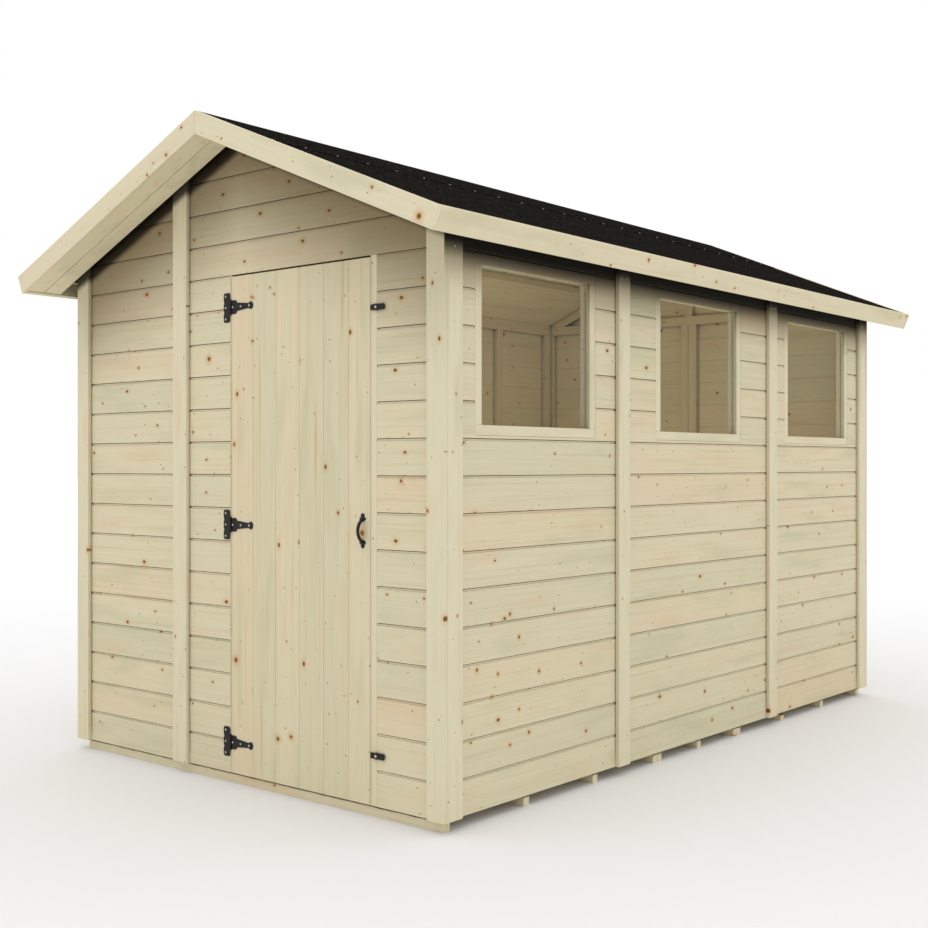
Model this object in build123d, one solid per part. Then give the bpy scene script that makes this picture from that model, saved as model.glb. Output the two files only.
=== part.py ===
from build123d import *
import os
from math import cos, radians, sin, tan

# Garden shed with an apex roof, in millimetres. +Z is up, the gable with the door faces -Y and the
# glazed side wall faces +X. The origin is on the ground, under the middle of the roof.

# Overall size
wall_width = 1816            # over the cladding of the side walls
wall_length = 2998           # over the cladding of the gable walls
ridge_height = 2230          # ground to the top of the barge boards at the ridge
roof_pitch = 22.8            # degrees
side_overhang = 147          # side cladding to the top edge of the fascia, level
front_overhang = 188         # front cladding to the face of the barge boards
rear_overhang = 204

# Timber sections
cladding_thickness = 12
strip_thickness = 16
corner_strip_width = 70
cover_strip_width = 70
front_cover_strip_width = 76
frame_depth = 28             # stud and rail, through the wall
stud_width = 44
rail_height = 28
head_plate_height = 44
panel_gap = 2                # between the frames of neighbouring panels

# Floor
bearer_width = 28
bearer_height = 45
floor_board = 12
floor_side_setback = 1       # sides of the floor behind the inside of the cladding
floor_end_setback = 5        # ends of the floor behind the inside of the cladding and the door
middle_floor_length = 600
cladding_drop = 20           # cladding hangs this far below the top of the floor

# Roof build-up
felt_thickness = 2.5
cap_strip_reach = 400        # down each slope from the ridge
roof_board = 12
edge_board_thickness = 16    # barge boards and side fascias
edge_board_depth = 71
rafter_depth = 44
purlin_width = 28
ridge_board_depth = 70
purlin_place = 560           # down the slope from the ridge to the middle of a purlin
soffit_width = 140           # two boards, from the barge boards towards the gable
soffit_thickness = 16
soffit_under_depth = 67      # its underside, a little above the foot of the barge boards
verge_batten_width = 28

# Panels
side_joint_y = 560           # joints of the side walls, either side of the middle
front_left_width = 606       # front panel to the left of the door panel
rear_joint_x = 0

# Windows, one in each panel of the right wall
window_width = 636           # over its frame
window_height = 549
window_below_plate = 76      # top of the frame to the underside of the head plate
window_member = 32           # face width of head and jambs
window_sill_height = 32
window_frame_depth = 40
window_offset = 13           # towards the front, from the middle of the panel
pane_thickness = 4
pane_recess = 16             # wall face to glass

# Doorway and door
hinge_side_width = 258       # cladding between the panels' joint and the doorway
lock_side_width = 268        # cladding between the closing strip and the corner
doorway_below_plate = 73     # head of the doorway to the underside of the head plate
hinge_gap = 5
closing_gap = 6
head_gap = 5
closing_strip_width = 23
stop_lap = 15                # stop strips beyond the edge of the doorway
stop_setback = 5             # back of the shut door to the stops
ledge_thickness = 20
ledge_height = 90
ledge_clearance = 10         # ends of the ledges to the stops
brace_foot = 110             # level width of a brace where it meets a ledge

# Tee hinges
hinge_from_end = 104         # middle of a hinge to the bottom or top of the door
hinge_sheet = 2
hinge_plate_width = 37
hinge_plate_height = 100
hinge_plate_waist = 3        # depth of the waists between the lobes
hinge_plate_corner = 8
hinge_barrel_radius = 4
hinge_barrel_height = 52
hinge_strap_knuckle = 22
hinge_pin_radius = 2
hinge_pin_clearance = 0.2
knuckle_clearance = 0.5
strap_root_height = 46
strap_bell_length = 26       # from the barrel
strap_bell_corner = 9
strap_step_height = 34       # of the taper where it leaves the bell, carried to the barrel
strap_neck = 96              # hinge axis to the end of the taper
strap_neck_height = 15
strap_length = 112
strap_tip_radius = 11
strap_tip_height = 26

# Pull handle
handle_from_edge = 30        # middle of the handle to the closing edge
handle_height = 108
handle_reach = 28
handle_bar_radius = 5
handle_leaf_thickness = 3
handle_leaf_length = 26
handle_leaf_width = 28
side_point_angle = 40        # how far the side points of a leaf turn towards its long point

# Turn buttons
button_from_end = 156        # pivot to the level of the bottom or top of the door
button_from_doorway = 26     # pivot to the edge of the doorway
button_left_arm = 24
button_right_arm = 33
button_height = 18
button_sheet = 2.5
button_boss_radius = 10.5
button_standoff = 5          # wall to the back of the arms
button_screw_radius = 2.2
button_screw_head_radius = 4.5
button_screw_head = 2
button_clearance = 0.3

# Heights and planes worked out from the sizes above
pitch = radians(roof_pitch)
floor_top = bearer_height + floor_board
wall_bottom = floor_top - cladding_drop
half_width = wall_width / 2
half_length = wall_length / 2
front_joint_x = -half_width + front_left_width
doorway_left = front_joint_x + hinge_side_width
cladding_right = half_width - lock_side_width
doorway_right = cladding_right - closing_strip_width
frame_outer_x = half_width - cladding_thickness
frame_outer_y = half_length - cladding_thickness
frame_inner_x = frame_outer_x - frame_depth
frame_inner_y = frame_outer_y - frame_depth
roof_half_width = half_width + side_overhang
roof_front = -half_length - front_overhang
roof_rear = half_length + rear_overhang
roof_middle = (roof_front + roof_rear) / 2
between_barges = (roof_front + edge_board_thickness, roof_rear - edge_board_thickness)
eaves_run = roof_half_width / cos(pitch)
boards_run = eaves_run - edge_board_thickness
felt_top_depth = felt_thickness
boards_top_depth = felt_top_depth + felt_thickness
boards_under_depth = boards_top_depth + roof_board
sole_top = floor_top + rail_height


def roof_under(x):
    """Height of the underside of the roof boards over a level place x."""
    return ridge_height - tan(pitch) * abs(x) - boards_under_depth / cos(pitch)


head_plate_bottom = roof_under(frame_outer_x) - head_plate_height
head_plate_top = head_plate_bottom + head_plate_height
middle_rail_bottom = (sole_top + head_plate_bottom - rail_height) / 2
window_top = head_plate_bottom - window_below_plate
window_bottom = window_top - window_height
doorway_head = head_plate_bottom - doorway_below_plate
door_top = doorway_head - head_gap
lowest_hinge = wall_bottom + hinge_from_end
highest_hinge = door_top - hinge_from_end
hinge_heights = (lowest_hinge, (lowest_hinge + highest_hinge) / 2, highest_hinge)
button_heights = (wall_bottom + button_from_end, door_top - button_from_end)


def block(x0, x1, y0, y1, z0, z1):
    """A square-edged piece between two opposite corners."""
    middle = Pos((x0 + x1) / 2, (y0 + y1) / 2, (z0 + z1) / 2)
    return middle * Box(abs(x1 - x0), abs(y1 - y0), abs(z1 - z0))


def prism_along_y(points, y0, y1):
    """An outline of (x, z) points, run from y0 to y1."""
    outline = make_face(Plane.XZ * Polyline(*points, close=True))
    return Pos(0, max(y0, y1), 0) * extrude(outline, amount=abs(y1 - y0), dir=(0, -1, 0))


def plate_on_front(sketch, x, z, back_y, thickness):
    """A flat fitting drawn in (x, z), standing out from the plane y = back_y."""
    return Pos(x, back_y, z) * extrude(Plane.XZ * sketch, amount=thickness, dir=(0, -1, 0))


def slope_point(side, run, depth):
    """(x, z) at a run down the slope and a depth below its top, side +1 or -1."""
    x = run * cos(pitch) - depth * sin(pitch)
    return (side * x, ridge_height - run * sin(pitch) - depth * cos(pitch))


def slope_slab(side, run_end, top, under, y0, y1):
    """A slab that starts with a plumb cut at the ridge and ends square to the slope."""
    points = [
        (0, ridge_height - top / cos(pitch)),
        slope_point(side, run_end, top),
        slope_point(side, run_end, under),
        (0, ridge_height - under / cos(pitch)),
    ]
    return prism_along_y(points, y0, y1)


def slope_bar(side, run0, run1, top, under, y0, y1):
    """A bar along the building, square to the slope on all sides."""
    points = [
        slope_point(side, run0, top),
        slope_point(side, run1, top),
        slope_point(side, run1, under),
        slope_point(side, run0, under),
    ]
    return prism_along_y(points, y0, y1)


def bent_sheet(run_end, top, under, y0, y1):
    """A sheet laid over the ridge and down both slopes."""
    points = [
        slope_point(-1, run_end, under),
        slope_point(-1, run_end, top),
        (0, ridge_height - top / cos(pitch)),
        slope_point(1, run_end, top),
        slope_point(1, run_end, under),
        (0, ridge_height - under / cos(pitch)),
    ]
    return prism_along_y(points, y0, y1)


# All that stands under the roof is cut to the underside of its boards
under_roof = prism_along_y(
    [
        (-roof_half_width, 0),
        (roof_half_width, 0),
        (roof_half_width, roof_under(roof_half_width)),
        (0, roof_under(0)),
        (-roof_half_width, roof_under(roof_half_width)),
    ],
    roof_front,
    roof_rear,
)


def under_the_roof(piece):
    """Trim a wall piece to the slope of the roof."""
    return piece & under_roof


def wall_block(x0, x1, y0, y1, z0=wall_bottom, z1=ridge_height):
    """A wall piece that runs up to the roof unless z1 stops it."""
    return under_the_roof(block(x0, x1, y0, y1, z0, z1))


# Floor: three panels on bearers that run across the shed

half_gap = panel_gap / 2
floor_half_width = frame_outer_x - floor_side_setback
floor_half_length = frame_outer_y - floor_end_setback
middle_floor_half = middle_floor_length / 2


def floor_spans():
    """(front, rear, number of bearers) of each floor panel."""
    return [
        (-floor_half_length, -middle_floor_half - half_gap, 4),
        (-middle_floor_half + half_gap, middle_floor_half - half_gap, 3),
        (middle_floor_half + half_gap, floor_half_length, 4),
    ]


def floor_bearers():
    pieces = []
    for front, rear, count in floor_spans():
        step = (rear - front - bearer_width) / (count - 1)
        for number in range(count):
            y0 = front + number * step
            pieces.append(
                block(-floor_half_width, floor_half_width, y0, y0 + bearer_width, 0, bearer_height)
            )
    return pieces


def floor_panels():
    return [
        block(-floor_half_width, floor_half_width, front, rear, bearer_height, floor_top)
        for front, rear, count in floor_spans()
    ]


# Front wall, split round the doorway

front_face = -half_length
front_inner = -frame_outer_y


def front_left_panel():
    return [wall_block(-half_width, front_joint_x, front_face, front_inner)]


def front_hinge_side():
    return [wall_block(front_joint_x, doorway_left, front_face, front_inner, z1=doorway_head)]


def front_lock_side():
    return [wall_block(cladding_right, half_width, front_face, front_inner, z1=doorway_head)]


def front_over_door():
    return [wall_block(front_joint_x, half_width, front_face, front_inner, z0=doorway_head)]


# Other walls

side_panel_spans = [
    (-frame_outer_y, -side_joint_y - half_gap),
    (-side_joint_y + half_gap, side_joint_y - half_gap),
    (side_joint_y + half_gap, frame_outer_y),
]
window_centres = [
    -(frame_outer_y + side_joint_y) / 2 - window_offset,
    -window_offset,
    (frame_outer_y + side_joint_y) / 2 - window_offset,
]


def rear_wall():
    return [
        wall_block(-half_width, rear_joint_x - half_gap, frame_outer_y, half_length),
        wall_block(rear_joint_x + half_gap, half_width, frame_outer_y, half_length),
    ]


def left_wall():
    return [wall_block(-half_width, -frame_outer_x, y0, y1) for y0, y1 in side_panel_spans]


def right_wall_lower():
    return [
        wall_block(frame_outer_x, half_width, y0, y1, z1=window_bottom) for y0, y1 in side_panel_spans
    ]


def right_wall_upper():
    return [
        wall_block(frame_outer_x, half_width, y0, y1, z0=window_top) for y0, y1 in side_panel_spans
    ]


def right_wall_piers():
    pieces = []
    for (y0, y1), centre in zip(side_panel_spans, window_centres):
        for start, end in ((y0, centre - window_width / 2), (centre + window_width / 2, y1)):
            pieces.append(block(frame_outer_x, half_width, start, end, window_bottom, window_top))
    return pieces


# Wall frames: studs between a sole plate on the floor and a head plate under the roof

front_frame = (-frame_outer_y, -frame_inner_y)
rear_frame = (frame_inner_y, frame_outer_y)
side_frame_end = frame_inner_y - panel_gap
side_frame_spans = [
    (-side_frame_end, -side_joint_y - half_gap),
    (-side_joint_y + half_gap, side_joint_y - half_gap),
    (side_joint_y + half_gap, side_frame_end),
]
joint_stud_left = front_joint_x - half_gap
joint_stud_right = front_joint_x + half_gap
king_post_half = stud_width / 2


def stud_in_gable(x0, frame, z0=sole_top, z1=head_plate_bottom):
    return block(x0, x0 + stud_width, frame[0], frame[1], z0, z1)


def king_post(frame):
    return wall_block(-king_post_half, king_post_half, frame[0], frame[1], z0=head_plate_top)


def front_studs():
    places = (
        -frame_outer_x,
        joint_stud_left - stud_width,
        joint_stud_right,
        doorway_left - stud_width,
        doorway_right,
        frame_outer_x - stud_width,
    )
    return [stud_in_gable(x0, front_frame) for x0 in places] + [king_post(front_frame)]


rear_stud_places = (
    -frame_outer_x,
    (-frame_outer_x + rear_joint_x - stud_width) / 2,
    rear_joint_x - half_gap - stud_width,
    rear_joint_x + half_gap,
    (frame_outer_x + rear_joint_x - stud_width) / 2,
    frame_outer_x - stud_width,
)


def rear_studs():
    return [stud_in_gable(x0, rear_frame) for x0 in rear_stud_places] + [king_post(rear_frame)]


def side_stud_places(windows):
    """Starts of the studs of each side panel, with a stud at each window edge or one in the middle."""
    places = []
    for (y0, y1), centre in zip(side_frame_spans, window_centres):
        if windows:
            inner = [centre - window_width / 2 - stud_width, centre + window_width / 2]
        else:
            inner = [(y0 + y1 - stud_width) / 2]
        places.append([y0] + inner + [y1 - stud_width])
    return places


def side_studs(x0, windows):
    return [
        block(x0, x0 + frame_depth, start, start + stud_width, sole_top, head_plate_bottom)
        for panel in side_stud_places(windows)
        for start in panel
    ]


def wall_plates():
    pieces = [
        block(-frame_outer_x, joint_stud_left, *front_frame, floor_top, sole_top),
        block(joint_stud_right, doorway_left, *front_frame, floor_top, sole_top),
        block(doorway_right, frame_outer_x, *front_frame, floor_top, sole_top),
        block(-frame_outer_x, frame_outer_x, *rear_frame, floor_top, sole_top),
    ]
    for frame in (front_frame, rear_frame):
        pieces.append(wall_block(-frame_outer_x, frame_outer_x, *frame, head_plate_bottom, head_plate_top))
    for x0 in (-frame_outer_x, frame_inner_x):
        for y0, y1 in side_frame_spans:
            pieces.append(block(x0, x0 + frame_depth, y0, y1, floor_top, sole_top))
            pieces.append(wall_block(x0, x0 + frame_depth, y0, y1, z0=head_plate_bottom))
    return pieces


def rails_between(places, lay_rail):
    """One rail in each bay between neighbouring studs."""
    return [
        lay_rail(start + stud_width, end)
        for start, end in zip(places, places[1:])
        if end - start - stud_width > stud_width
    ]


def middle_rails():
    z0, z1 = middle_rail_bottom, middle_rail_bottom + rail_height
    pieces = rails_between(rear_stud_places, lambda a, b: block(a, b, *rear_frame, z0, z1))
    pieces.append(
        block(-frame_outer_x + stud_width, joint_stud_left - stud_width, *front_frame, z0, z1)
    )
    left = (-frame_outer_x, -frame_inner_x)
    for places in side_stud_places(windows=False):
        pieces += rails_between(places, lambda a, b: block(*left, a, b, z0, z1))
    for centre in window_centres:
        y0, y1 = centre - window_width / 2, centre + window_width / 2
        for bottom in (window_bottom - rail_height, window_top):
            pieces.append(block(frame_inner_x, frame_outer_x, y0, y1, bottom, bottom + rail_height))
    pieces.append(
        block(doorway_left, doorway_right, *front_frame, doorway_head, doorway_head + rail_height)
    )
    return pieces


# Roof

def gable_rafters():
    pieces = []
    for frame in (front_frame, rear_frame):
        for side in (-1, 1):
            rafter = slope_slab(
                side, eaves_run, boards_under_depth, boards_under_depth + rafter_depth, *frame
            )
            clear_of_post = block(
                side * king_post_half, side * frame_outer_x, *frame, head_plate_top, ridge_height
            )
            pieces.append(rafter & clear_of_post)
    return pieces + verge_battens()


def roof_purlins():
    pieces = [
        slope_bar(
            side,
            purlin_place - purlin_width / 2,
            purlin_place + purlin_width / 2,
            boards_under_depth,
            boards_under_depth + rafter_depth,
            -frame_inner_y,
            frame_inner_y,
        )
        for side in (-1, 1)
    ]
    half = purlin_width / 2
    pieces.append(
        wall_block(-half, half, -frame_inner_y, frame_inner_y, z0=roof_under(0) - ridge_board_depth)
    )
    return pieces


def roof_boards(side):
    return [slope_slab(side, boards_run, boards_top_depth, boards_under_depth, *between_barges)]


def roof_felt():
    return [bent_sheet(boards_run, felt_top_depth, boards_top_depth, *between_barges)]


def felt_ridge_cap():
    return [bent_sheet(cap_strip_reach, 0, felt_top_depth, *between_barges)]


def barge_boards(side):
    front_back, rear_back = between_barges
    return [
        slope_slab(side, eaves_run, 0, edge_board_depth, roof_front, front_back),
        slope_slab(side, eaves_run, 0, edge_board_depth, rear_back, roof_rear),
    ]


def fascia(side):
    return [slope_bar(side, boards_run, eaves_run, 0, edge_board_depth, *between_barges)]


def verge_spans():
    """(barge side, gable side) of the soffit at the front and at the rear."""
    front_back, rear_back = between_barges
    return [(front_back, front_back + soffit_width), (rear_back, rear_back - soffit_width)]


def verge_soffits():
    top = soffit_under_depth - soffit_thickness
    return [
        slope_slab(side, boards_run, top, soffit_under_depth, *span)
        for span in verge_spans()
        for side in (-1, 1)
    ]


def verge_battens():
    """Battens that carry the soffit under the roof boards, one at each of its edges."""
    soffit_top = soffit_under_depth - soffit_thickness
    pieces = []
    for outer, inner in verge_spans():
        towards_gable = verge_batten_width if inner > outer else -verge_batten_width
        for y0, y1 in ((outer, outer + towards_gable), (inner - towards_gable, inner)):
            for side in (-1, 1):
                pieces.append(slope_slab(side, boards_run, boards_under_depth, soffit_top, y0, y1))
    return pieces


# Strips over the corners and the joints

strip_outer_x = half_width + strip_thickness
strip_outer_y = half_length + strip_thickness


def gable_strips(y0, y1, joint_x, joint_width):
    return [
        wall_block(-strip_outer_x, -strip_outer_x + corner_strip_width, y0, y1),
        wall_block(strip_outer_x - corner_strip_width, strip_outer_x, y0, y1),
        wall_block(joint_x - joint_width / 2, joint_x + joint_width / 2, y0, y1),
    ]


def front_strips():
    strips = gable_strips(-strip_outer_y, -half_length, front_joint_x, front_cover_strip_width)
    strips.append(
        block(doorway_right, cladding_right, front_face, front_inner, wall_bottom, doorway_head)
    )
    return strips


def rear_strips():
    return gable_strips(half_length, strip_outer_y, rear_joint_x, cover_strip_width)


def side_strips(x0, x1):
    return [
        wall_block(x0, x1, -half_length, -half_length + corner_strip_width),
        wall_block(x0, x1, half_length - corner_strip_width, half_length),
        wall_block(x0, x1, -side_joint_y - cover_strip_width / 2, -side_joint_y + cover_strip_width / 2),
        wall_block(x0, x1, side_joint_y - cover_strip_width / 2, side_joint_y + cover_strip_width / 2),
    ]


# Windows

window_inner_x = half_width - window_frame_depth
glass_bottom = window_bottom + window_sill_height
glass_top = window_top - window_member


def window_bars(y_start, y_end, z0, z1):
    """One bar in each window, its ends measured from the middle of the window."""
    return [
        block(window_inner_x, half_width, centre + y_start, centre + y_end, z0, z1)
        for centre in window_centres
    ]


def window_sills():
    return window_bars(-window_width / 2, window_width / 2, window_bottom, glass_bottom)


def window_heads():
    return window_bars(-window_width / 2, window_width / 2, glass_top, window_top)


def window_jambs():
    inner = window_width / 2 - window_member
    return window_bars(-window_width / 2, -inner, glass_bottom, glass_top) + window_bars(
        inner, window_width / 2, glass_bottom, glass_top
    )


def window_panes():
    inner = window_width / 2 - window_member
    outer_x = half_width - pane_recess
    return [
        block(outer_x - pane_thickness, outer_x, centre - inner, centre + inner, glass_bottom, glass_top)
        for centre in window_centres
    ]


# Door

door_left = doorway_left + hinge_gap
door_right = doorway_right - closing_gap
stop_front = front_inner + stop_setback
stop_left = doorway_left + stop_lap
stop_right = doorway_right - stop_lap
stop_gap = 1


def door_frame():
    return [
        block(doorway_left, stop_left, stop_front, -frame_inner_y, floor_top, doorway_head),
        block(stop_right, doorway_right, stop_front, -frame_inner_y, floor_top, doorway_head),
        block(
            stop_left + stop_gap,
            stop_right - stop_gap,
            stop_front,
            -frame_inner_y,
            doorway_head - stop_lap,
            doorway_head,
        ),
        block(
            stop_left + stop_gap,
            stop_right - stop_gap,
            stop_front,
            -frame_inner_y,
            floor_top,
            sole_top,
        ),
    ]


def door_leaf():
    return [block(door_left, door_right, front_face, front_inner, wall_bottom, door_top)]


ledge_left = stop_left + ledge_clearance
ledge_right = stop_right - ledge_clearance
ledge_back = front_inner + ledge_thickness


def door_ledges():
    return [
        block(
            ledge_left,
            ledge_right,
            front_inner,
            ledge_back,
            height - ledge_height / 2,
            height + ledge_height / 2,
        )
        for height in hinge_heights
    ]


def door_braces():
    pieces = []
    for lower, upper in zip(hinge_heights, hinge_heights[1:]):
        foot = lower + ledge_height / 2
        head = upper - ledge_height / 2
        points = [
            (ledge_left, foot),
            (ledge_left + brace_foot, foot),
            (ledge_right, head),
            (ledge_right - brace_foot, head),
        ]
        pieces.append(prism_along_y(points, front_inner, ledge_back))
    return pieces


# Tee hinges: a plate with two knuckles and a riveted pin, and a strap with the knuckle between them

hinge_axis_x = doorway_left + hinge_gap / 2
hinge_axis_y = front_face - hinge_barrel_radius
strap_knuckle_half = hinge_strap_knuckle / 2
plate_knuckle_length = hinge_barrel_height / 2 - strap_knuckle_half - knuckle_clearance
sheet_start = hinge_barrel_radius + knuckle_clearance


def barrel(bottom, length, radius):
    """A round bar on the hinge axis, from a height above the middle of the hinge."""
    return Pos(0, 0, bottom + length / 2) * Cylinder(radius, length)


def hinge_sheet_plate(sketch):
    """Sheet metal flat on the wall, drawn in (x, z) about the hinge axis."""
    return Pos(0, hinge_barrel_radius, 0) * extrude(Plane.XZ * sketch, amount=hinge_sheet, dir=(0, -1, 0))


def plate_outline():
    """Straight along the barrel, with three lobes along its outer edge."""
    width = hinge_plate_width - sheet_start
    lobe = hinge_plate_height / 3
    middle = width - hinge_plate_waist
    outline = Pos(-sheet_start - middle / 2, 0) * Rectangle(middle, hinge_plate_height - lobe)
    for place in (-1, 0, 1):
        lobe_middle = Pos(-sheet_start - width / 2, place * (hinge_plate_height - lobe) / 2)
        outline += lobe_middle * RectangleRounded(width, lobe, hinge_plate_corner)
    barrel_edge = Rectangle(2 * hinge_plate_corner, hinge_plate_height - 2 * hinge_plate_corner)
    return outline + Pos(-sheet_start - hinge_plate_corner, 0) * barrel_edge


def strap_outline():
    """A bell at the barrel, a step, a long taper and a round knob at the tip."""
    bell_end = sheet_start + strap_bell_length
    bell = Pos(bell_end / 2 + sheet_start / 2, 0) * RectangleRounded(
        strap_bell_length, strap_root_height, strap_bell_corner
    )
    root = Pos(sheet_start + strap_bell_corner, 0) * Rectangle(2 * strap_bell_corner, strap_root_height)
    taper = make_face(
        Polyline(
            (sheet_start, -strap_step_height / 2),
            (strap_neck, -strap_neck_height / 2),
            (strap_neck, strap_neck_height / 2),
            (sheet_start, strap_step_height / 2),
            close=True,
        )
    )
    tip = Pos(strap_length - strap_tip_radius, 0) * Ellipse(strap_tip_radius, strap_tip_height / 2)
    return root + bell + taper + tip


def leaf_to_barrel(side, bottom, length):
    """The short curl of sheet that joins a leaf to its knuckle."""
    reach = sheet_start + hinge_sheet
    y0 = hinge_barrel_radius - hinge_sheet
    return block(0, side * reach, y0, hinge_barrel_radius, bottom, bottom + length)


def one_hinge_plate():
    lower = -hinge_barrel_height / 2
    upper = hinge_barrel_height / 2 - plate_knuckle_length
    piece = hinge_sheet_plate(plate_outline())
    for bottom in (lower, upper):
        piece += barrel(bottom, plate_knuckle_length, hinge_barrel_radius)
        piece += leaf_to_barrel(-1, bottom, plate_knuckle_length)
    return piece + barrel(lower, hinge_barrel_height, hinge_pin_radius)


def one_hinge_strap():
    bore = barrel(-strap_root_height, 2 * strap_root_height, hinge_pin_radius + hinge_pin_clearance)
    piece = hinge_sheet_plate(strap_outline())
    piece += barrel(-strap_knuckle_half, hinge_strap_knuckle, hinge_barrel_radius)
    piece += leaf_to_barrel(1, -strap_knuckle_half, hinge_strap_knuckle)
    return piece - bore


def at_hinges(piece):
    return [Pos(hinge_axis_x, hinge_axis_y, height) * piece for height in hinge_heights]


# Pull handle: two leaf-shaped ends and a bow between them

def handle_leaf(direction):
    """A three-pointed leaf about the foot of the bow, its long point away from the bow."""
    point = handle_leaf_length - handle_leaf_width / 4
    outline = Circle(handle_leaf_width / 4)
    outline += Pos(0, direction * point / 2) * Ellipse(handle_leaf_width / 4, point / 2)
    for side in (-1, 1):
        side_point = Rotation(0, 0, side * direction * side_point_angle) * Ellipse(
            handle_leaf_width / 4, handle_leaf_width / 8
        )
        outline += Pos(side * handle_leaf_width / 4, 0) * side_point
    return outline


def pull_handle():
    foot_z = handle_height / 2 - handle_leaf_length + handle_leaf_width / 4
    crest = -(handle_reach - handle_bar_radius)
    foot = -handle_leaf_thickness / 2
    path = ThreePointArc((0, foot, -foot_z), (0, crest, 0), (0, foot, foot_z))
    section = Plane(origin=path @ 0, z_dir=path % 0) * Circle(handle_bar_radius)
    before_the_door = block(
        -handle_reach, handle_reach, -handle_reach, 0, -handle_height / 2, handle_height / 2
    )
    handle = sweep(section, path=path) & before_the_door
    for direction in (-1, 1):
        leaf = handle_leaf(direction)
        handle += plate_on_front(leaf, 0, direction * foot_z, 0, handle_leaf_thickness)
    return [Pos(door_right - handle_from_edge, front_face, hinge_heights[1]) * handle]


# Turn buttons on the wall beside the closing edge of the door

button_pivot_x = doorway_right + button_from_doorway


def turn_button(height):
    length = button_left_arm + button_right_arm
    middle = (button_right_arm - button_left_arm) / 2
    outline = Pos(middle, 0) * RectangleRounded(length, button_height, button_height / 6)
    outline += Circle(button_boss_radius)
    arms = plate_on_front(outline, 0, 0, -button_standoff, button_sheet)
    boss = plate_on_front(
        Circle(button_boss_radius * 0.7), 0, 0, -button_clearance, button_standoff - button_clearance
    )
    bore = plate_on_front(
        Circle(button_screw_radius + button_clearance), 0, 0, 0, button_standoff + 2 * button_sheet
    )
    return [Pos(button_pivot_x, front_face, height) * (arms + boss - bore)]


def turn_button_screws():
    head_back = button_standoff + button_sheet + button_clearance
    shank = plate_on_front(Circle(button_screw_radius), 0, 0, 0, head_back + button_screw_head)
    head = plate_on_front(
        Circle(button_screw_head_radius), 0, 0, -head_back, button_screw_head
    )
    screw = shank + head
    return [Pos(button_pivot_x, front_face, height) * screw for height in button_heights]


nodes = {
    "floor_bearers": floor_bearers(),
    "floor_panels": floor_panels(),
    "front_left_panel": front_left_panel(),
    "front_hinge_side": front_hinge_side(),
    "front_lock_side": front_lock_side(),
    "front_over_door": front_over_door(),
    "rear_wall": rear_wall(),
    "left_wall": left_wall(),
    "right_wall_lower": right_wall_lower(),
    "right_wall_upper": right_wall_upper(),
    "right_wall_piers": right_wall_piers(),
    "front_studs": front_studs(),
    "rear_studs": rear_studs(),
    "left_studs": side_studs(-frame_outer_x, windows=False),
    "right_studs": side_studs(frame_inner_x, windows=True),
    "wall_plates": wall_plates(),
    "middle_rails": middle_rails(),
    "gable_rafters": gable_rafters(),
    "roof_purlins": roof_purlins(),
    "roof_boards_left": roof_boards(-1),
    "roof_boards_right": roof_boards(1),
    "roof_felt": roof_felt(),
    "felt_ridge_cap": felt_ridge_cap(),
    "verge_soffits": verge_soffits(),
    "barge_boards_left": barge_boards(-1),
    "barge_boards_right": barge_boards(1),
    "fascia_left": fascia(-1),
    "fascia_right": fascia(1),
    "front_strips": front_strips(),
    "rear_strips": rear_strips(),
    "left_strips": side_strips(-strip_outer_x, -half_width),
    "right_strips": side_strips(half_width, strip_outer_x),
    "window_sills": window_sills(),
    "window_heads": window_heads(),
    "window_jambs": window_jambs(),
    "window_panes": window_panes(),
    "door_frame": door_frame(),
    "door_leaf": door_leaf(),
    "door_ledges": door_ledges(),
    "door_braces": door_braces(),
    "hinge_plates": at_hinges(one_hinge_plate()),
    "hinge_straps": at_hinges(one_hinge_strap()),
    "pull_handle": pull_handle(),
    "turn_button_top": turn_button(button_heights[1]),
    "turn_button_bottom": turn_button(button_heights[0]),
    "turn_button_screws": turn_button_screws(),
}

# The walls are drawn about their own middle, and the roof reaches further over the rear gable
to_roof_middle = Pos(0, -roof_middle, 0)

os.makedirs("parts", exist_ok=True)
for name, pieces in nodes.items():
    solids = [to_roof_middle * solid for piece in pieces for solid in piece.solids()]
    export_step(Compound(children=solids), f"parts/{name}.step")
    print(name, len(solids), round(sum(solid.volume for solid in solids)))
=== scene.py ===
# %% [markdown]
# # A timber garden shed
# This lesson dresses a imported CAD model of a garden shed. The CAD gives every timber as a
# sharp-edged blank in its right place. Here each blank is sawn into boards, its edges are
# eased, and it gets the figure of real softwood. All sizes are in metres.

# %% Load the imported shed
import math

import bpy
from mathutils import Matrix, Vector


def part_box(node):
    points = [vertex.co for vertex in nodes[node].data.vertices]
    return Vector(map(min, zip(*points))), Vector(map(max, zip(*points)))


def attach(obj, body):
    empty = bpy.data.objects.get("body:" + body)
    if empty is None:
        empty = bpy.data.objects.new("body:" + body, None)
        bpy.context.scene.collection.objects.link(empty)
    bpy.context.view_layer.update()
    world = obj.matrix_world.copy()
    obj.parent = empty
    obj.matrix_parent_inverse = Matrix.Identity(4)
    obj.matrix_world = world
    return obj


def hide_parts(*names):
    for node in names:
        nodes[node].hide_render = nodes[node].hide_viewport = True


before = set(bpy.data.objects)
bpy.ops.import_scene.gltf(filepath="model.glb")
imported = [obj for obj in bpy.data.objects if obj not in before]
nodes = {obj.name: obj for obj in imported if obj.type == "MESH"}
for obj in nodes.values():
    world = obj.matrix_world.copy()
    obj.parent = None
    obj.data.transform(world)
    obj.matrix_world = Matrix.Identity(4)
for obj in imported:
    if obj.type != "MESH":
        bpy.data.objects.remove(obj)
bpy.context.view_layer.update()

MM = 0.001

# %% [markdown]
# ## Camera
# The photograph was taken from a little over waist height, level, towards the corner between
# the door gable and the windows. A 50 mm lens on a 36 mm frame gives its perspective.

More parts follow.
